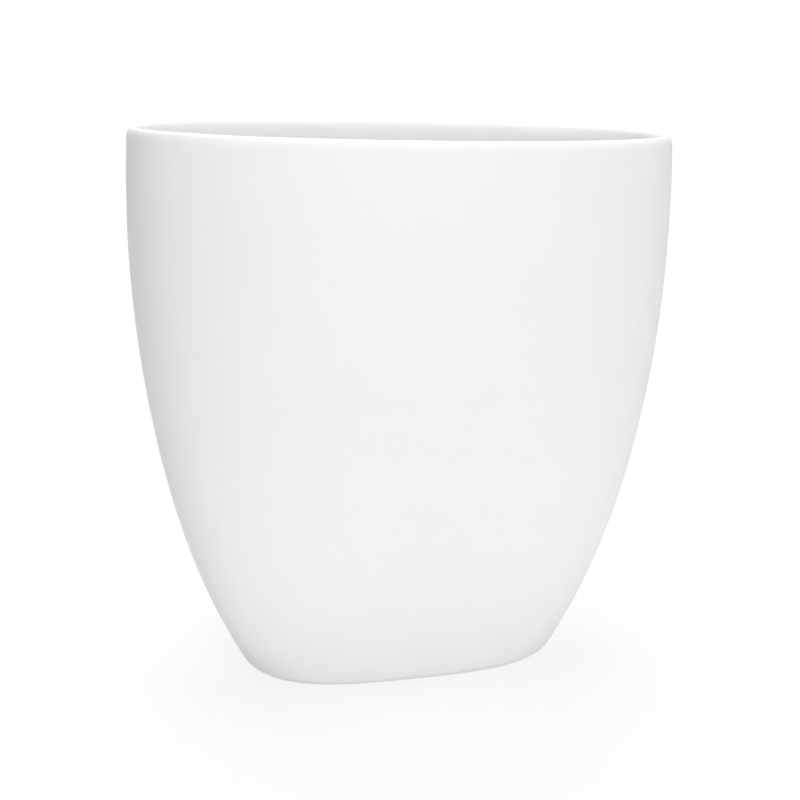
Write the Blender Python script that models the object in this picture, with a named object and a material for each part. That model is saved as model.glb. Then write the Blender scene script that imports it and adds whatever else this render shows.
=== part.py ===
"""Flat oval table vase: one slip-cast ceramic shell on four stick-on silicone foot pads.

Metres, +Z up, +X along the width and -Y towards the viewer. The origin lies on the table, under the
middle of the vase.
"""

import math

import bmesh
import bpy

# Outer form of the ceramic shell, heights measured from its foot
BODY_HEIGHT = 0.200
BODY_WIDTH = 0.198
WIDEST_BELOW_RIM = 0.027
FOOT_DRAW_IN_X = 0.0395
RIM_DRAW_IN_X = 0.0009
BODY_DEPTH = 0.100
DEEPEST_BELOW_RIM = 0.083
FOOT_DRAW_IN_Y = 0.014
RIM_DRAW_IN_Y = 0.007

# Plan outline: 2 is an ellipse, and a higher number is boxier
FOOT_SQUARENESS = 3.1
RIM_SQUARENESS = 2.15

# Clay thickness, with the lip fully rounded over the wall
WALL = 0.0045
FLOOR_THICKNESS = 0.006
INNER_FLOOR_RADIUS = 0.012

# Underside: rounded heel, flat foot ring and shallow recess
HEEL_RADIUS = 0.005
FOOT_RING_WIDTH = 0.012
RECESS_DEPTH = 0.002
RECESS_SIDE_RUN = 0.001

# Stick-on foot pads
PAD_DIAMETER = 0.007
PAD_THICKNESS = 0.001
PAD_EDGE_EASE = 0.0002
PAD_INNER_MARGIN = 0.0005
PAD_BEARING = math.radians(40.0)
PAD_SEAT_GAP = 0.0003

# Finishes: linear colour and roughness
GLAZE_COLOR, GLAZE_ROUGHNESS = (0.87, 0.87, 0.86), 0.42
SILICONE_COLOR, SILICONE_ROUGHNESS = (0.70, 0.70, 0.68), 0.5

# Fineness of the solids
PLAN_STEPS = 96
WALL_STEPS = 12
HEEL_STEPS = 5
LIP_STEPS = 8
FLOOR_ARC_STEPS = 5
PAD_STEPS = 24
SHARP_EDGE = math.radians(35.0)

FOOT_LEVEL = PAD_THICKNESS + PAD_SEAT_GAP
PAD_RING_INSET = HEEL_RADIUS + FOOT_RING_WIDTH - PAD_INNER_MARGIN - PAD_DIAMETER / 2
PAD_PLACES = {
    "foot_pad_front_left": math.pi + PAD_BEARING,
    "foot_pad_front_right": -PAD_BEARING,
    "foot_pad_rear_left": math.pi - PAD_BEARING,
    "foot_pad_rear_right": PAD_BEARING,
}


def clear_scene():
    """Empty the file of its objects."""
    for obj in list(bpy.data.objects):
        bpy.data.objects.remove(obj, do_unlink=True)


def make_material(name, color, roughness):
    """A Principled material of one colour and roughness."""
    material = bpy.data.materials.new(name)
    material.use_nodes = True
    shader = material.node_tree.nodes["Principled BSDF"]
    shader.inputs["Base Color"].default_value = (*color, 1.0)
    shader.inputs["Roughness"].default_value = roughness
    shader.inputs["Metallic"].default_value = 0.0
    return material


def swell(height, fullest, full_height, foot_draw_in, rim_draw_in):
    """Half-size of the outside at a height: two elliptical arcs that meet at the fullest level."""
    if height <= full_height:
        draw_in, run = foot_draw_in, full_height
    else:
        draw_in, run = rim_draw_in, BODY_HEIGHT - full_height
    arc_drop = math.sqrt(1.0 - ((fullest - draw_in) / fullest) ** 2)
    return fullest * math.sqrt(1.0 - (arc_drop * (height - full_height) / run) ** 2)


def half_width(height):
    """Half of the outside width at a height above the foot."""
    widest = BODY_HEIGHT - WIDEST_BELOW_RIM
    return swell(height, BODY_WIDTH / 2, widest, FOOT_DRAW_IN_X, RIM_DRAW_IN_X)


def half_depth(height):
    """Half of the outside depth at a height above the foot."""
    deepest = BODY_HEIGHT - DEEPEST_BELOW_RIM
    return swell(height, BODY_DEPTH / 2, deepest, FOOT_DRAW_IN_Y, RIM_DRAW_IN_Y)


def squareness(height):
    """Plan exponent at a height, from the boxy foot to the oval rim."""
    return FOOT_SQUARENESS + (RIM_SQUARENESS - FOOT_SQUARENESS) * height / BODY_HEIGHT


def plan_point(height, inset, bearing):
    """Point of the plan outline at a height, drawn in by an inset, in a direction from the middle."""
    power = squareness(height)
    across, along = math.cos(bearing), math.sin(bearing)
    reach = (abs(across) ** power + abs(along) ** power) ** (-1.0 / power)
    x = (half_width(height) - inset) * across * reach
    y = (half_depth(height) - inset) * along * reach
    return x, y, height


def arc(steps):
    """Angles of a quarter turn in even steps, both ends included."""
    return [math.pi / 2 * step / steps for step in range(steps + 1)]


def underside_profile():
    """Inset and height from the recess roof over the foot ring and round the heel."""
    ring_inset = HEEL_RADIUS + FOOT_RING_WIDTH
    points = [(ring_inset + RECESS_SIDE_RUN, RECESS_DEPTH), (ring_inset, 0.0)]
    for turn in arc(HEEL_STEPS):
        points.append((HEEL_RADIUS * (1.0 - math.sin(turn)), HEEL_RADIUS * (1.0 - math.cos(turn))))
    return points


def wall_profile():
    """Inset and height up the outer wall, over the lip and down the inner wall."""
    lip_radius = WALL / 2
    lip_start = BODY_HEIGHT - lip_radius
    floor_arc_top = RECESS_DEPTH + FLOOR_THICKNESS + INNER_FLOOR_RADIUS
    points = []
    for step in range(1, WALL_STEPS):
        points.append((0.0, HEEL_RADIUS + (lip_start - HEEL_RADIUS) * step / WALL_STEPS))
    for step in range(LIP_STEPS + 1):
        turn = math.pi * step / LIP_STEPS
        inset = lip_radius * (1.0 - math.cos(turn))
        points.append((inset, lip_start + lip_radius * math.sin(turn)))
    for step in range(1, WALL_STEPS):
        points.append((WALL, lip_start + (floor_arc_top - lip_start) * step / WALL_STEPS))
    return points


def floor_profile():
    """Inset and height round the inner corner, from the wall to the flat floor."""
    floor_top = RECESS_DEPTH + FLOOR_THICKNESS
    points = []
    for turn in arc(FLOOR_ARC_STEPS):
        inset = WALL + INNER_FLOOR_RADIUS * (1.0 - math.cos(turn))
        points.append((inset, floor_top + INNER_FLOOR_RADIUS * (1.0 - math.sin(turn))))
    return points


def add_ring(mesh, inset, height):
    """One closed plan outline as a loop of edges."""
    bearings = [math.tau * step / PLAN_STEPS for step in range(PLAN_STEPS)]
    verts = [mesh.verts.new(plan_point(height, inset, bearing)) for bearing in bearings]
    return [mesh.edges.new((verts[step - 1], verts[step])) for step in range(PLAN_STEPS)]


def finish_mesh(mesh, name):
    """Turn a bmesh into smooth-shaded mesh data with its crisp edges kept."""
    bmesh.ops.recalc_face_normals(mesh, faces=mesh.faces)
    data = bpy.data.meshes.new(name)
    mesh.to_mesh(data)
    mesh.free()
    data.shade_smooth()
    data.set_sharp_from_angle(angle=SHARP_EDGE)
    return data


def add_object(name, data, material, parent, location):
    """Place mesh data in the scene under a parent."""
    obj = bpy.data.objects.new(name, data)
    bpy.context.scene.collection.objects.link(obj)
    if not data.materials:
        data.materials.append(material)
    obj.parent = parent
    obj.location = location
    return obj


def shell_mesh():
    """The ceramic shell, lofted through its rings and closed under the foot and on the floor."""
    mesh = bmesh.new()
    rings = []
    for inset, height in underside_profile() + wall_profile() + floor_profile():
        rings.append(add_ring(mesh, inset, height))
    for lower, upper in zip(rings, rings[1:]):
        bmesh.ops.bridge_loops(mesh, edges=lower + upper)
    for end in (rings[0], rings[-1]):
        bmesh.ops.contextual_create(mesh, geom=end)
    return finish_mesh(mesh, "vase_body")


def pad_mesh():
    """A round pad standing on its underside, with its rims eased."""
    mesh = bmesh.new()
    radius = PAD_DIAMETER / 2
    bmesh.ops.create_cone(
        mesh, cap_ends=True, segments=PAD_STEPS, radius1=radius, radius2=radius, depth=PAD_THICKNESS
    )
    half = PAD_THICKNESS / 2
    bmesh.ops.translate(mesh, verts=mesh.verts, vec=(0.0, 0.0, half))
    rims = [edge for edge in mesh.edges if abs(edge.verts[0].co.z - edge.verts[1].co.z) < half]
    bmesh.ops.bevel(mesh, geom=rims, offset=PAD_EDGE_EASE, segments=1, profile=0.5, affect="EDGES")
    return finish_mesh(mesh, "foot_pad")


def build():
    """Make the vase and its pads under one empty on the table."""
    clear_scene()
    root = bpy.data.objects.new("table_vase", None)
    bpy.context.scene.collection.objects.link(root)
    glaze = make_material("white_matt_glaze", GLAZE_COLOR, GLAZE_ROUGHNESS)
    silicone = make_material("milky_silicone", SILICONE_COLOR, SILICONE_ROUGHNESS)
    add_object("vase_body", shell_mesh(), glaze, root, (0.0, 0.0, FOOT_LEVEL))
    pad_data = pad_mesh()
    for name, bearing in PAD_PLACES.items():
        x, y, _ = plan_point(0.0, PAD_RING_INSET, bearing)
        add_object(name, pad_data, silicone, root, (x, y, 0.0))


build()
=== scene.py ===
"""Looks of a flat oval table vase: one slip-cast shell in matt white glaze on four silicone foot pads.

Every length is in metres unless its name says otherwise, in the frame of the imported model: +Z up, +X
along the width of the oval, -Y towards the viewer of its broad face, and the table at z = 0.
"""

import logging
import math
from dataclasses import dataclass
from enum import Enum
from typing import Any

import bmesh
import bpy
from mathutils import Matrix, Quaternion, Vector


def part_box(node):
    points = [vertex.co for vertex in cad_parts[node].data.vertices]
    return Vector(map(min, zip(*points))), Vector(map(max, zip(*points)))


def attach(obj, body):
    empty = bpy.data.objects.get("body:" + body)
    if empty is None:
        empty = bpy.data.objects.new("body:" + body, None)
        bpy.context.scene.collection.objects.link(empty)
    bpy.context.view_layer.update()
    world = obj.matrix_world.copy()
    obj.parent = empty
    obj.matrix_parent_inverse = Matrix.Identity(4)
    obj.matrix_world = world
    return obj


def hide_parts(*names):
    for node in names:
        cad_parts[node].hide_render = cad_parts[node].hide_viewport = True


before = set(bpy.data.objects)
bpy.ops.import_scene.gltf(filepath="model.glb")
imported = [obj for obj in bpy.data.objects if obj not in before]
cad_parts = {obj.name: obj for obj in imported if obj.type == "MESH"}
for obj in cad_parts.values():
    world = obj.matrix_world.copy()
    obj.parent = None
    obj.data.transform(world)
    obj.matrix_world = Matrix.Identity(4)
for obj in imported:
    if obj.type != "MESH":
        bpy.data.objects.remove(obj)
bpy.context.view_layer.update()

LOG = logging.getLogger("table_vase")
BODY = "root"
MM = 0.001

# Colour sockets of the Mix node, which names its sockets alike for every kind of value
MIX_A, MIX_B, MIX_OUT = 6, 7, 2
# Values between which a noise mostly lies, stretched to the whole range of what it drives
NOISE_LOW, NOISE_HIGH = 0.3, 0.7
# The sRGB curve: a straight line up to its knee, then a power of the shifted value
SRGB_KNEE, SRGB_SLOPE, SRGB_SHIFT, SRGB_POWER = 0.04045, 12.92, 0.055, 2.4
# Highest value of one colour in a hex code
HEX_TOP = 255

Colour = tuple[float, float, float, float]
Profile = list[tuple[float, float]]


class Slot(Enum):
    """Material slots of the record that the pieces take their finish from."""

    GLAZE = "white_matt_glaze"
    SILICONE = "milky_silicone"


class Skin(Enum):
    """Surfaces of the ceramic shell, by their place in its list of materials."""

    GLAZED = 0
    BARE = 1


class PadCorner(Enum):
    """Foot pads, each by the corner of the foot that its CAD node is named for."""

    FRONT_LEFT = "front_left"
    FRONT_RIGHT = "front_right"
    REAR_LEFT = "rear_left"
    REAR_RIGHT = "rear_right"


def linear(hex_code: str) -> Colour:
    """Turn an sRGB hex colour into the linear colour that shaders take.

    Args:
        hex_code: Six hex digits after a hash sign.

    Returns:
        Red, green, blue and an alpha of 1.
    """
    shares = [int(hex_code[place:place + 2], 16) / HEX_TOP for place in (1, 3, 5)]
    red, green, blue = [
        share / SRGB_SLOPE if share <= SRGB_KNEE else ((share + SRGB_SHIFT) / (1 + SRGB_SHIFT)) ** SRGB_POWER
        for share in shares
    ]
    return red, green, blue, 1.0


def add_node(tree: bpy.types.NodeTree, kind: str, inputs: dict[Any, Any], **settings: Any) -> bpy.types.Node:
    """Add one shader node with its settings, its socket values and its incoming links.

    Args:
        tree: Node tree that gets the node.
        kind: Blender's name for the type of node.
        inputs: Socket name or number, with a value to set or an output socket to link.
        **settings: Properties of the node itself.

    Returns:
        The new node.
    """
    node = tree.nodes.new(kind)
    for name, value in settings.items():
        setattr(node, name, value)
    for socket, value in inputs.items():
        if isinstance(value, bpy.types.NodeSocket):
            tree.links.new(value, node.inputs[socket])
        else:
            node.inputs[socket].default_value = value
    return node


def new_material(name: str) -> tuple[bpy.types.Material, bpy.types.NodeTree]:
    """Start an empty node material.

    Args:
        name: Name of the real material and of how its surface was made.

    Returns:
        The material and its node tree.
    """
    material = bpy.data.materials.new(name)
    material.use_nodes = True
    material.node_tree.nodes.clear()
    return material, material.node_tree


def start_piece() -> None:
    """Leave nothing selected, because an operator acts on all that is selected."""
    bpy.ops.object.select_all(action="DESELECT")


def finish_piece(piece: bpy.types.Object, name: str) -> None:
    """Name a finished piece, put its place into its mesh and let it ride on the vase.

    Args:
        piece: The selected, active object in object mode.
        name: Name of the piece.
    """
    piece.name = name
    piece.data.name = name
    bpy.ops.object.transform_apply(location=True, rotation=True, scale=True)
    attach(piece, BODY)


@dataclass(frozen=True)
class Noise:
    """One noise pattern of a finish: the size of its patches, its finer layers and how strong they are."""

    patch_mm: float
    detail: float
    roughness: float

    def sockets(self, place: bpy.types.NodeSocket) -> dict[str, Any]:
        """Socket values that give a noise node this pattern on the given coordinates."""
        scale = 1 / (self.patch_mm * MM)
        return {"Vector": place, "Scale": scale, "Detail": self.detail, "Roughness": self.roughness}


@dataclass(frozen=True)
class MattGlaze:
    """White matt glaze on slip-cast earthenware, sprayed on and fired.

    Fine crystals that grow in the melt scatter the light. So the eye gets a soft even white with a wide
    weak sheen, faint cloudy patches of more and less sheen, and now and then a grey speck.
    """

    thick: str = "#F8F8F8"
    thin: str = "#F5F5F4"
    speck: str = "#B9B6B0"
    roughness_low: float = 0.5
    roughness_high: float = 0.6
    diffuse_roughness: float = 0.1
    ior: float = 1.5
    clouds: Noise = Noise(patch_mm=60.0, detail=3.0, roughness=0.5)
    cloud_low: float = 0.35
    cloud_high: float = 0.65
    cloud_thinness: float = 0.25
    sheen_patches: Noise = Noise(patch_mm=22.0, detail=4.0, roughness=0.55)
    peel: Noise = Noise(patch_mm=2.4, detail=2.0, roughness=0.4)
    peel_depth_mm: float = 0.008
    speck_spacing_mm: float = 34.0
    speck_radius_mm: float = 0.35
    speck_core_share: float = 1 / 3
    speck_strength: float = 0.5
    speck_share: float = 0.1
    lip_fade_mm: float = 2.5
    lip_thinness: float = 0.6

    def build(self, rim_height: float) -> bpy.types.Material:
        """Make the material.

        Args:
            rim_height: Height of the top of the lip, where the glaze runs thin.

        Returns:
            The glaze.
        """
        material, tree = new_material("matt_white_glaze_fired")
        place = add_node(tree, "ShaderNodeTexCoord", {}).outputs["Object"]
        patches = add_node(tree, "ShaderNodeTexNoise", self.sheen_patches.sockets(place))
        roughness = add_node(tree, "ShaderNodeMapRange", {
            "Value": patches.outputs["Fac"], "From Min": NOISE_LOW, "From Max": NOISE_HIGH,
            "To Min": self.roughness_low, "To Max": self.roughness_high,
        })
        peel = add_node(tree, "ShaderNodeTexNoise", self.peel.sockets(place))
        bump = add_node(tree, "ShaderNodeBump", {
            "Height": peel.outputs["Fac"], "Strength": 1.0, "Distance": self.peel_depth_mm * MM,
        })
        white = self.thickness_white(tree, place, rim_height)
        skin = add_node(tree, "ShaderNodeBsdfPrincipled", {
            "Base Color": self.with_specks(tree, place, white), "Roughness": roughness.outputs["Result"],
            "IOR": self.ior, "Diffuse Roughness": self.diffuse_roughness, "Normal": bump.outputs["Normal"],
        })
        add_node(tree, "ShaderNodeOutputMaterial", {"Surface": skin.outputs["BSDF"]})
        return material

    def thickness_white(
        self, tree: bpy.types.NodeTree, place: bpy.types.NodeSocket, rim_height: float
    ) -> bpy.types.NodeSocket:
        """White that warms a little where the glaze is thin: in faint clouds, and over the lip.

        Args:
            tree: Node tree of the glaze.
            place: Object coordinates.
            rim_height: Height of the top of the lip.

        Returns:
            The colour socket.
        """
        clouds = add_node(tree, "ShaderNodeTexNoise", self.clouds.sockets(place))
        cloudy = add_node(tree, "ShaderNodeMapRange", {
            "Value": clouds.outputs["Fac"], "From Min": self.cloud_low, "From Max": self.cloud_high,
            "To Min": 0.0, "To Max": self.cloud_thinness,
        })
        height = add_node(tree, "ShaderNodeSeparateXYZ", {"Vector": place}).outputs["Z"]
        at_lip = add_node(tree, "ShaderNodeMapRange", {
            "Value": height, "From Min": rim_height - self.lip_fade_mm * MM, "From Max": rim_height,
            "To Min": 0.0, "To Max": self.lip_thinness,
        })
        thinness = add_node(tree, "ShaderNodeMath", {
            0: cloudy.outputs["Result"], 1: at_lip.outputs["Result"],
        }, operation="ADD", use_clamp=True)
        white = add_node(tree, "ShaderNodeMix", {
            "Factor": thinness.outputs["Value"], MIX_A: linear(self.thick), MIX_B: linear(self.thin),
        }, data_type="RGBA")
        return white.outputs[MIX_OUT]

    def with_specks(
        self, tree: bpy.types.NodeTree, place: bpy.types.NodeSocket, white: bpy.types.NodeSocket
    ) -> bpy.types.NodeSocket:
        """Add the rare faint specks of iron that rise from the clay into the glaze.

        Args:
            tree: Node tree of the glaze.
            place: Object coordinates.
            white: Colour of the glaze without specks.

        Returns:
            The colour socket.
        """
        reach = self.speck_radius_mm / self.speck_spacing_mm
        cells = add_node(tree, "ShaderNodeTexVoronoi", {
            "Vector": place, "Scale": 1 / (self.speck_spacing_mm * MM),
        })
        dot = add_node(tree, "ShaderNodeMapRange", {
            "Value": cells.outputs["Distance"], "From Min": reach, "From Max": reach * self.speck_core_share,
            "To Min": 0.0, "To Max": self.speck_strength,
        })
        chance = add_node(tree, "ShaderNodeSeparateColor", {"Color": cells.outputs["Color"]}).outputs["Red"]
        chosen = add_node(tree, "ShaderNodeMath", {0: chance, 1: self.speck_share}, operation="LESS_THAN")
        amount = add_node(tree, "ShaderNodeMath", {
            0: dot.outputs["Result"], 1: chosen.outputs["Value"],
        }, operation="MULTIPLY")
        speckled = add_node(tree, "ShaderNodeMix", {
            "Factor": amount.outputs["Value"], MIX_A: white, MIX_B: linear(self.speck),
        }, data_type="RGBA")
        return speckled.outputs[MIX_OUT]


@dataclass(frozen=True)
class GrainyFinish:
    """Plain finish with a fine grain in its colour and its relief, for the small parts under the foot."""

    name: str
    light: str
    dark: str
    roughness: float
    ior: float
    grain: Noise
    grain_depth_mm: float
    transmission: float = 0.0

    def build(self) -> bpy.types.Material:
        """Make the material.

        Returns:
            The finish.
        """
        material, tree = new_material(self.name)
        place = add_node(tree, "ShaderNodeTexCoord", {}).outputs["Object"]
        grain = add_node(tree, "ShaderNodeTexNoise", self.grain.sockets(place))
        share = add_node(tree, "ShaderNodeMapRange", {
            "Value": grain.outputs["Fac"], "From Min": NOISE_LOW, "From Max": NOISE_HIGH,
            "To Min": 0.0, "To Max": 1.0,
        })
        tone = add_node(tree, "ShaderNodeMix", {
            "Factor": share.outputs["Result"], MIX_A: linear(self.dark), MIX_B: linear(self.light),
        }, data_type="RGBA")
        bump = add_node(tree, "ShaderNodeBump", {
            "Height": grain.outputs["Fac"], "Strength": 1.0, "Distance": self.grain_depth_mm * MM,
        })
        surface = add_node(tree, "ShaderNodeBsdfPrincipled", {
            "Base Color": tone.outputs[MIX_OUT], "Roughness": self.roughness, "IOR": self.ior,
            "Transmission Weight": self.transmission, "Normal": bump.outputs["Normal"],
        })
        add_node(tree, "ShaderNodeOutputMaterial", {"Surface": surface.outputs["BSDF"]})
        return material


# Fired earthenware wiped clean of glaze: warm white, dry and finely sandy to the eye
BARE_CLAY = GrainyFinish(
    "bare_fired_earthenware", light="#EBE6DC", dark="#DCD4C6", roughness=0.88, ior=1.5,
    grain=Noise(patch_mm=0.4, detail=5.0, roughness=0.6), grain_depth_mm=0.03,
)
# Moulded silicone rubber: milky and a little see-through, with a soft sheen
MILKY_SILICONE = GrainyFinish(
    "moulded_silicone_rubber", light="#DEDEDA", dark="#D3D3CE", roughness=0.38, ior=1.41,
    grain=Noise(patch_mm=1.5, detail=5.0, roughness=0.6), grain_depth_mm=0.004, transmission=0.3,
)
# Acrylic adhesive film: clear with a straw tint, seen only from the side as a thin line
ADHESIVE_FILM = GrainyFinish(
    "acrylic_adhesive_film", light="#EBE5D0", dark="#E0D8BF", roughness=0.25, ior=1.47,
    grain=Noise(patch_mm=0.8, detail=5.0, roughness=0.6), grain_depth_mm=0.003, transmission=0.6,
)


@dataclass(frozen=True)
class VaseForm:
    """Outer form of the shell: two elliptical arcs up each side, and a plan that rounds off to the rim.

    A squareness of 2 is an ellipse, and a higher one is boxier.
    """

    width: float
    depth: float
    height: float
    foot_level: float
    widest_below_rim: float = 0.027
    foot_draw_in_x: float = 0.0395
    rim_draw_in_x: float = 0.0009
    deepest_below_rim: float = 0.083
    foot_draw_in_y: float = 0.014
    rim_draw_in_y: float = 0.007
    foot_squareness: float = 3.1
    rim_squareness: float = 2.15

    def swell(self, height: float, fullest: float, below_rim: float, foot_in: float, rim_in: float) -> float:
        """Half-size of the outside at a height, from two arcs that meet at the fullest level.

        Args:
            height: Height above the foot.
            fullest: Half-size at the fullest level.
            below_rim: Depth of the fullest level below the rim.
            foot_in: How far the foot is drawn in from the fullest half-size.
            rim_in: How far the rim is drawn in from it.

        Returns:
            The half-size.
        """
        full_height = self.height - below_rim
        draw_in, run = (foot_in, full_height) if height <= full_height else (rim_in, below_rim)
        arc_drop = math.sqrt(1.0 - ((fullest - draw_in) / fullest) ** 2)
        return fullest * math.sqrt(1.0 - (arc_drop * (height - full_height) / run) ** 2)

    def half_sizes(self, height: float, inset: float) -> tuple[float, float]:
        """Half-width and half-depth of the plan at a height, drawn in by an inset.

        Args:
            height: Height above the foot.
            inset: Distance in from the outside.

        Returns:
            Half of the width and half of the depth.
        """
        across = self.swell(
            height, self.width / 2, self.widest_below_rim, self.foot_draw_in_x, self.rim_draw_in_x
        )
        along = self.swell(
            height, self.depth / 2, self.deepest_below_rim, self.foot_draw_in_y, self.rim_draw_in_y
        )
        return across - inset, along - inset

    def outline_point(self, height: float, inset: float, bearing: float) -> Vector:
        """Point of the plan outline at a height.

        Args:
            height: Height above the foot.
            inset: Distance in from the outside.
            bearing: Direction from the middle, in radians, on the outline stretched to a circle.

        Returns:
            The point.
        """
        power = self.foot_squareness + (self.rim_squareness - self.foot_squareness) * height / self.height
        across, along = math.cos(bearing), math.sin(bearing)
        reach = (abs(across) ** power + abs(along) ** power) ** (-1.0 / power)
        half_width, half_depth = self.half_sizes(height, inset)
        return Vector((half_width * across * reach, half_depth * along * reach, self.foot_level + height))


@dataclass
class CeramicShell:
    """The vase itself: one wall of fired clay, open at the top, with a bare foot ring below.

    The lip has its crest nearer the outside, with a short outer shoulder and a long inner one, each a
    quarter of an ellipse. The glaze stops at glaze_line above the flat of the foot, in a bead that is
    glaze_bead thick.
    """

    form: VaseForm
    wall: float = 0.0045
    lip_crest: float = 0.0018
    lip_outer_drop: float = 0.0036
    lip_inner_drop: float = 0.008
    floor_thickness: float = 0.006
    inner_floor_radius: float = 0.012
    heel_radius: float = 0.005
    foot_ring_width: float = 0.012
    recess_depth: float = 0.002
    recess_side_run: float = 0.001
    recess_roof_margin: float = 0.001
    glaze_line: float = 0.0007
    glaze_bead: float = 0.00012
    waviness: float = 0.0003
    wave_length: float = 0.045
    plan_steps: int = 96
    wall_steps: int = 20
    bare_steps: int = 3
    heel_steps: int = 5
    lip_steps: int = 6
    corner_steps: int = 6
    middle_rings: tuple[float, ...] = (0.97, 0.8, 0.5, 0.2)

    def build(self) -> bpy.types.Object:
        """Model the shell in place of its CAD node.

        Returns:
            The finished shell.
        """
        start_piece()
        bpy.ops.mesh.primitive_circle_add(vertices=self.plan_steps, radius=1.0, location=(0.0, 0.0, 0.0))
        shell = bpy.context.object
        bpy.ops.object.mode_set(mode="EDIT")
        self.raise_rings(shell)
        self.close_middle()
        bpy.ops.mesh.select_all(action="DESELECT")
        bpy.ops.mesh.select_non_manifold()
        self.close_middle()
        bpy.ops.mesh.select_all(action="SELECT")
        bpy.ops.mesh.normals_make_consistent(inside=False)
        bpy.ops.object.mode_set(mode="OBJECT")
        self.dress(shell)
        self.soften(shell)
        finish_piece(shell, "ceramic_shell")
        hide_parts("vase_body")
        return shell

    def underside_profile(self) -> Profile:
        """Inset and height from the recess roof over the foot ring and round the heel.

        Returns:
            The points, with a bead where the glaze stops on the heel.
        """
        ring_inset = self.heel_radius + self.foot_ring_width
        recess_glaze_stop = self.glaze_line / self.recess_depth
        points = [
            (ring_inset + self.recess_side_run + self.recess_roof_margin, self.recess_depth),
            (ring_inset + self.recess_side_run, self.recess_depth),
            (ring_inset + self.recess_side_run * recess_glaze_stop, self.glaze_line),
            (ring_inset + self.glaze_bead, self.glaze_bead),
            (ring_inset - self.glaze_bead, 0.0),
            (self.heel_radius + self.glaze_bead, 0.0),
        ]
        glaze_start = math.acos(1.0 - self.glaze_line / self.heel_radius)
        bare_turns = [glaze_start * step / self.bare_steps for step in range(1, self.bare_steps + 1)]
        glazed_turns = [
            glaze_start + (math.pi / 2 - glaze_start) * step / self.heel_steps
            for step in range(self.heel_steps + 1)
        ]
        for turn in bare_turns:
            points.append(self.heel_point(turn, 0.0))
        for turn in glazed_turns:
            fade = (math.pi / 2 - turn) / (math.pi / 2 - glaze_start)
            points.append(self.heel_point(turn, self.glaze_bead * fade))
        return points

    def heel_point(self, turn: float, proud: float) -> tuple[float, float]:
        """Inset and height of a point on the heel's arc, proud of it by a thickness of glaze."""
        radius = self.heel_radius + proud
        return self.heel_radius - radius * math.sin(turn), self.heel_radius - radius * math.cos(turn)

    def wall_profile(self) -> Profile:
        """Inset and height up the outer wall, over the lip, down the inner wall and out on the floor.

        Returns:
            The points.
        """
        outer_top = self.form.height - self.lip_outer_drop
        inner_top = self.form.height - self.lip_inner_drop
        floor_top = self.recess_depth + self.floor_thickness
        corner_top = floor_top + self.inner_floor_radius
        points = []
        for step in range(1, self.wall_steps):
            share = step / self.wall_steps
            points.append((0.0, self.heel_radius + (outer_top - self.heel_radius) * share))
        lip_turns = [math.pi / 2 * step / self.lip_steps for step in range(self.lip_steps + 1)]
        for turn in lip_turns:
            inset = self.lip_crest * (1.0 - math.cos(turn))
            points.append((inset, outer_top + self.lip_outer_drop * math.sin(turn)))
        for turn in lip_turns[1:]:
            inset = self.lip_crest + (self.wall - self.lip_crest) * math.sin(turn)
            points.append((inset, inner_top + self.lip_inner_drop * math.cos(turn)))
        for step in range(1, self.wall_steps):
            points.append((self.wall, inner_top + (corner_top - inner_top) * step / self.wall_steps))
        for step in range(self.corner_steps + 1):
            turn = math.pi / 2 * step / self.corner_steps
            inset = self.wall + self.inner_floor_radius * (1.0 - math.cos(turn))
            points.append((inset, corner_top - self.inner_floor_radius * math.sin(turn)))
        return points

    def raise_rings(self, shell: bpy.types.Object) -> None:
        """Extrude the first loop ring by ring, each laid on the plan outline at its own height.

        Args:
            shell: The circle, in edit mode, with all of it selected.
        """
        half_width, half_depth = 1.0, 1.0
        for ring, (inset, height) in enumerate(self.underside_profile() + self.wall_profile()):
            if ring:
                bpy.ops.mesh.extrude_region_move()
            mesh = bmesh.from_edit_mesh(shell.data)
            for vert in (vert for vert in mesh.verts if vert.select):
                bearing = math.atan2(vert.co.y / half_depth, vert.co.x / half_width)
                vert.co = self.form.outline_point(height, inset, bearing)
            bmesh.update_edit_mesh(shell.data)
            half_width, half_depth = self.form.half_sizes(height, inset)

    def close_middle(self) -> None:
        """Close a flat opening inwards from its selected loop, in rings of even quads and a last fan."""
        size = 1.0
        for share in self.middle_rings:
            bpy.ops.mesh.extrude_region_move()
            bpy.ops.transform.resize(value=(share / size, share / size, 1.0))
            size = share
        bpy.ops.mesh.extrude_region_move()
        bpy.ops.mesh.merge(type="CENTER")

    def dress(self, shell: bpy.types.Object) -> None:
        """Give the shell its glaze, and bare clay where the foot ring was wiped.

        Args:
            shell: The shell in object mode.
        """
        shell.data.materials.append(MattGlaze().build(self.form.foot_level + self.form.height))
        shell.data.materials.append(BARE_CLAY.build())
        for face in shell.data.polygons:
            bare = face.center.z < self.form.foot_level + self.glaze_line
            face.material_index = Skin.BARE.value if bare else Skin.GLAZED.value

    def soften(self, shell: bpy.types.Object) -> None:
        """Smooth the shell, and let the wall wave as a hand-sponged casting does, but not at the foot.

        Args:
            shell: The shell in object mode.
        """
        smooth = shell.modifiers.new("smooth", "SUBSURF")
        smooth.levels = smooth.render_levels = 1
        bpy.ops.object.modifier_apply(modifier=smooth.name)
        above_foot = shell.vertex_groups.new(name="above_foot")
        for vert in shell.data.vertices:
            height = vert.co.z - self.form.foot_level
            above_foot.add([vert.index], min(1.0, max(0.0, height / self.wave_length)), "REPLACE")
        texture = bpy.data.textures.new("hand_sponging", "CLOUDS")
        texture.noise_scale = self.wave_length
        wave = shell.modifiers.new("wave", "DISPLACE")
        wave.texture = texture
        wave.texture_coords = "LOCAL"
        wave.strength = self.waviness
        wave.vertex_group = above_foot.name
        bpy.ops.object.modifier_apply(modifier=wave.name)
        shell.vertex_groups.clear()
        bpy.ops.object.shade_smooth()


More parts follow.
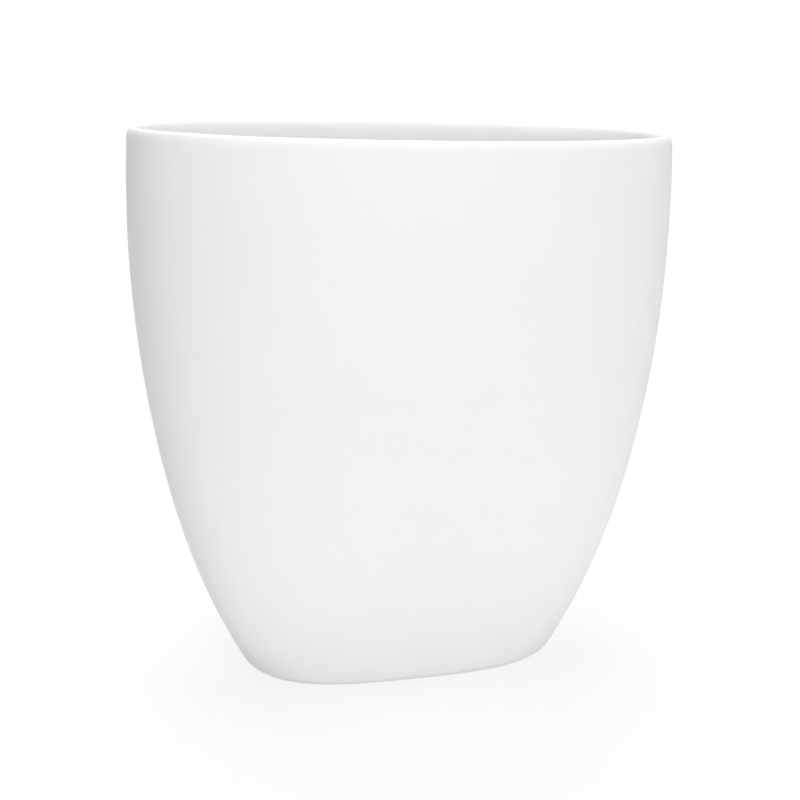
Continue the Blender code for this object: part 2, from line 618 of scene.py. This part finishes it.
@dataclass
class FootPads:
    """Four moulded silicone discs, each stuck to the bare foot ring by a film of adhesive."""

    foot_level: float
    edge_ease: float = 0.0002
    dish_margin: float = 0.0009
    dish_depth: float = 0.00008
    film_margin: float = 0.00025
    film_rim: float = 0.000125
    sides: int = 48
    ease_segments: int = 3
    smooth_angle: float = 40.0

    def build(self) -> list[bpy.types.Object]:
        """Model the pads in place of their CAD nodes, each with its film.

        Returns:
            The pads and films.
        """
        silicone, adhesive = MILKY_SILICONE.build(), ADHESIVE_FILM.build()
        pieces = []
        for corner in PadCorner:
            node = f"foot_pad_{corner.value}"
            low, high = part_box(node)
            pad = self.add_disc(low, high, 0.0)
            self.ease_and_dish()
            pad.data.materials.append(silicone)
            finish_piece(pad, f"silicone_pad_{corner.value}")
            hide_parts(node)
            film_low = Vector((low.x, low.y, high.z))
            film_high = Vector((high.x, high.y, self.foot_level))
            film = self.add_disc(film_low, film_high, self.film_margin)
            self.round_film()
            film.data.materials.append(adhesive)
            finish_piece(film, f"adhesive_film_{corner.value}")
            pieces += [pad, film]
        return pieces

    def add_disc(self, low: Vector, high: Vector, margin: float) -> bpy.types.Object:
        """Add an upright cylinder that fills a box, drawn in by a margin, and go to edit mode.

        Args:
            low: Lowest corner of the box.
            high: Highest corner of the box.
            margin: How far its side is drawn in.

        Returns:
            The cylinder.
        """
        start_piece()
        bpy.ops.mesh.primitive_cylinder_add(
            vertices=self.sides, radius=(high.x - low.x) / 2 - margin, depth=high.z - low.z,
            location=(low + high) / 2,
        )
        bpy.ops.object.mode_set(mode="EDIT")
        bpy.ops.mesh.select_mode(type="FACE")
        return bpy.context.object

    def select_caps(self, sides: tuple[int, ...]) -> None:
        """Select the flat ends of the disc in edit mode.

        Args:
            sides: 1 for the upper end and -1 for the lower.
        """
        bpy.ops.mesh.select_all(action="DESELECT")
        mesh = bmesh.from_edit_mesh(bpy.context.object.data)
        mesh.faces.ensure_lookup_table()
        for face in mesh.faces:
            face.select_set(len(face.verts) == self.sides and round(face.normal.z) in sides)
        bmesh.update_edit_mesh(bpy.context.object.data)

    def ease_and_dish(self) -> None:
        """Round the pad's rims and sink the middle of its underside, as moulded rubber shrinks."""
        self.select_caps((1, -1))
        bpy.ops.mesh.bevel(offset=self.edge_ease, segments=self.ease_segments, affect="EDGES")
        self.select_caps((-1,))
        bpy.ops.mesh.inset(thickness=self.dish_margin)
        bpy.ops.mesh.inset(thickness=self.dish_margin)
        bpy.ops.transform.translate(value=(0.0, 0.0, self.dish_depth))
        self.leave_smooth()

    def round_film(self) -> None:
        """Inset the film's ends a little, so that its shading turns only at the rim."""
        self.select_caps((1, -1))
        bpy.ops.mesh.inset(thickness=self.film_rim)
        self.leave_smooth()

    def leave_smooth(self) -> None:
        """Go back to object mode, shaded smooth but for the sharp rims."""
        bpy.ops.object.mode_set(mode="OBJECT")
        bpy.ops.object.shade_smooth_by_angle(angle=math.radians(self.smooth_angle))


@dataclass(frozen=True)
class Softbox:
    """One softbox aimed at the middle of the vase.

    Its angles are in degrees: azimuth 0 is in front of the broad face and 90 at its right end. Its level
    is the share of plain white that it gives a white card that faces it at the vase.
    """

    name: str
    azimuth: float
    elevation: float
    distance: float
    width: float
    height: float
    level: float

    def build(self, aim: Vector) -> bpy.types.Object:
        """Hang the softbox.

        Args:
            aim: Point that it faces.

        Returns:
            The lamp.
        """
        data = bpy.data.lights.new(self.name, "AREA")
        data.shape = "RECTANGLE"
        data.size, data.size_y = self.width, self.height
        # A white card's brightness is the lamp's power over the square of pi times the distance
        data.energy = self.level * (math.pi * self.distance) ** 2
        lamp = bpy.data.objects.new(self.name, data)
        bpy.context.scene.collection.objects.link(lamp)
        away = direction(self.azimuth, self.elevation)
        lamp.location = aim + away * self.distance
        lamp.rotation_euler = away.to_track_quat("Z", "Y").to_euler()
        lamp.visible_camera = False
        return lamp


def direction(azimuth: float, elevation: float) -> Vector:
    """Unit vector away from the vase, towards an azimuth and an elevation in degrees.

    Args:
        azimuth: 0 in front of the broad face, 90 at the right end of the vase.
        elevation: Above the horizon.

    Returns:
        The vector.
    """
    turn, rise = math.radians(azimuth), math.radians(elevation)
    return Vector((math.sin(turn) * math.cos(rise), -math.cos(turn) * math.cos(rise), math.sin(rise)))


@dataclass(frozen=True)
class PaleFloor:
    """Matt white table top, clear from below so that the underside of the vase can be looked at.

    Towards the camera, and in gloss, most of its white is its own and a small share comes from the lamps,
    so that the shadow of the vase stays faint. Its own white grows with the distance from the vase until
    the ground is white to the horizon. For the rays that carry light it is a plain diffuse white.
    """

    size: float = 60.0
    drop: float = 0.00005
    colour: str = "#FCFCFC"
    seen_share: float = 0.15
    near_white: float = 0.85
    far_white: float = 1.0
    near_radius: float = 0.15
    far_radius: float = 1.2

    def build(self) -> bpy.types.Object:
        """Lay the floor under the pads.

        Returns:
            The floor.
        """
        start_piece()
        bpy.ops.mesh.primitive_plane_add(size=self.size, location=(0.0, 0.0, -self.drop))
        floor = bpy.context.object
        floor.name = "floor"
        floor.data.materials.append(self.finish())
        return floor

    def finish(self) -> bpy.types.Material:
        """Make the floor's material.

        Returns:
            The material.
        """
        material, tree = new_material("matt_white_table_top")
        white = linear(self.colour)
        plain = add_node(tree, "ShaderNodeBsdfDiffuse", {"Color": white})
        pale = add_node(tree, "ShaderNodeBsdfDiffuse", {
            "Color": tuple(part * self.seen_share for part in white[:3]) + (1.0,),
        })
        place = add_node(tree, "ShaderNodeTexCoord", {}).outputs["Object"]
        away = add_node(tree, "ShaderNodeVectorMath", {0: place}, operation="LENGTH").outputs["Value"]
        own_white = add_node(tree, "ShaderNodeMapRange", {
            "Value": away, "From Min": self.near_radius, "From Max": self.far_radius,
            "To Min": self.near_white, "To Max": self.far_white,
        })
        glow = add_node(tree, "ShaderNodeEmission", {"Strength": own_white.outputs["Result"]})
        lit = add_node(tree, "ShaderNodeAddShader", {0: pale.outputs["BSDF"], 1: glow.outputs["Emission"]})
        shown = add_node(tree, "ShaderNodeMixShader", {
            0: seen_directly(tree), 1: plain.outputs["BSDF"], 2: lit.outputs["Shader"],
        })
        clear = add_node(tree, "ShaderNodeBsdfTransparent", {})
        below = add_node(tree, "ShaderNodeNewGeometry", {}).outputs["Backfacing"]
        both = add_node(tree, "ShaderNodeMixShader", {
            0: below, 1: shown.outputs["Shader"], 2: clear.outputs["BSDF"],
        })
        add_node(tree, "ShaderNodeOutputMaterial", {"Surface": both.outputs["Shader"]})
        return material


def seen_directly(tree: bpy.types.NodeTree) -> bpy.types.NodeSocket:
    """1 for camera, glossy and transmission rays, and 0 for the rays that carry light.

    Args:
        tree: Node tree of a background surface or of the world.

    Returns:
        The value socket.
    """
    rays = add_node(tree, "ShaderNodeLightPath", {}).outputs
    seen = add_node(tree, "ShaderNodeMath", {
        0: rays["Is Camera Ray"], 1: rays["Is Glossy Ray"],
    }, operation="MAXIMUM")
    through = add_node(tree, "ShaderNodeMath", {
        0: seen.outputs["Value"], 1: rays["Is Transmission Ray"],
    }, operation="MAXIMUM")
    return through.outputs["Value"]


@dataclass(frozen=True)
class ProductCamera:
    """Camera at the photograph's viewing angle, aimed a hair beside the middle of the vase.

    Its angles are in degrees, and the roll is the slight tilt of the vase in the photograph.
    """

    azimuth: float = -14.795
    elevation: float = 17.332
    distance: float = 0.4536
    aim_height: float = 0.1013
    aim_left: float = 0.00052
    aim_down: float = 0.00009
    roll: float = 1.9706
    lens_mm: float = 54.075
    sensor_mm: float = 36.0
    nearest_mm: float = 10.0

    def build(self) -> bpy.types.Object:
        """Set up the camera and make it the scene's.

        Returns:
            The camera.
        """
        data = bpy.data.cameras.new("product_camera")
        data.lens, data.sensor_width = self.lens_mm, self.sensor_mm
        data.clip_start = self.nearest_mm * MM
        camera = bpy.data.objects.new("product_camera", data)
        bpy.context.scene.collection.objects.link(camera)
        back = direction(self.azimuth, self.elevation)
        level = back.to_track_quat("Z", "Y")
        aim = Vector((0.0, 0.0, self.aim_height))
        offset = level @ Vector((-self.aim_left, -self.aim_down, 0.0))
        camera.location = aim + back * self.distance
        tilted = (camera.location - aim - offset).to_track_quat("Z", "Y")
        camera.rotation_mode = "QUATERNION"
        camera.rotation_quaternion = tilted @ Quaternion((0.0, 0.0, 1.0), math.radians(self.roll))
        bpy.context.scene.camera = camera
        return camera


@dataclass(frozen=True)
class Studio:
    """Plain soft studio: a white ground, four softboxes and a weak light from all round.

    The front and back softboxes are large and far off, so that they light the vase evenly from its foot to
    its rim. The top one leans a little to the back, so that it lights the lip and not the broad face.
    """

    softboxes: tuple[Softbox, ...] = (
        Softbox(
            "front_softbox", azimuth=8.0, elevation=22.0, distance=3.0, width=2.2, height=2.2, level=0.49
        ),
        Softbox(
            "left_softbox", azimuth=-25.0, elevation=24.0, distance=2.9, width=1.6, height=2.0, level=0.13
        ),
        Softbox(
            "top_softbox", azimuth=180.0, elevation=86.0, distance=0.9, width=0.45, height=0.45, level=0.7
        ),
        Softbox(
            "back_softbox", azimuth=180.0, elevation=42.0, distance=2.9, width=2.8, height=2.0, level=0.6
        ),
    )
    ambient: float = 0.02
    aim_height: float = 0.1

    def build(self) -> None:
        """Light the scene and set how its colours are shown."""
        scene = bpy.context.scene
        scene.view_settings.view_transform = "Standard"
        PaleFloor().build()
        ProductCamera().build()
        aim = Vector((0.0, 0.0, self.aim_height))
        for softbox in self.softboxes:
            softbox.build(aim)
            LOG.info("lamp %s at level %.2f", softbox.name, softbox.level)
        world = bpy.data.worlds.new("white_room")
        world.use_nodes = True
        tree = world.node_tree
        tree.nodes.clear()
        weak = add_node(tree, "ShaderNodeBackground", {"Color": linear("#FFFFFF"), "Strength": self.ambient})
        white = add_node(tree, "ShaderNodeBackground", {"Color": linear("#FFFFFF"), "Strength": 1.0})
        mixed = add_node(tree, "ShaderNodeMixShader", {
            0: seen_directly(tree), 1: weak.outputs["Background"], 2: white.outputs["Background"],
        })
        add_node(tree, "ShaderNodeOutputWorld", {"Surface": mixed.outputs["Shader"]})
        scene.world = world


def main() -> None:
    """Build the vase from the frame's sizes, then the studio round it."""
    logging.basicConfig(level=logging.INFO, format="%(name)s: %(message)s")
    low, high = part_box("vase_body")
    form = VaseForm(high.x - low.x, high.y - low.y, high.z - low.z, low.z)
    pieces = [CeramicShell(form).build(), *FootPads(form.foot_level).build()]
    for piece in pieces:
        LOG.info("%s: %d faces", piece.name, len(piece.data.polygons))
    Studio().build()


if __name__ == "__main__":
    main()
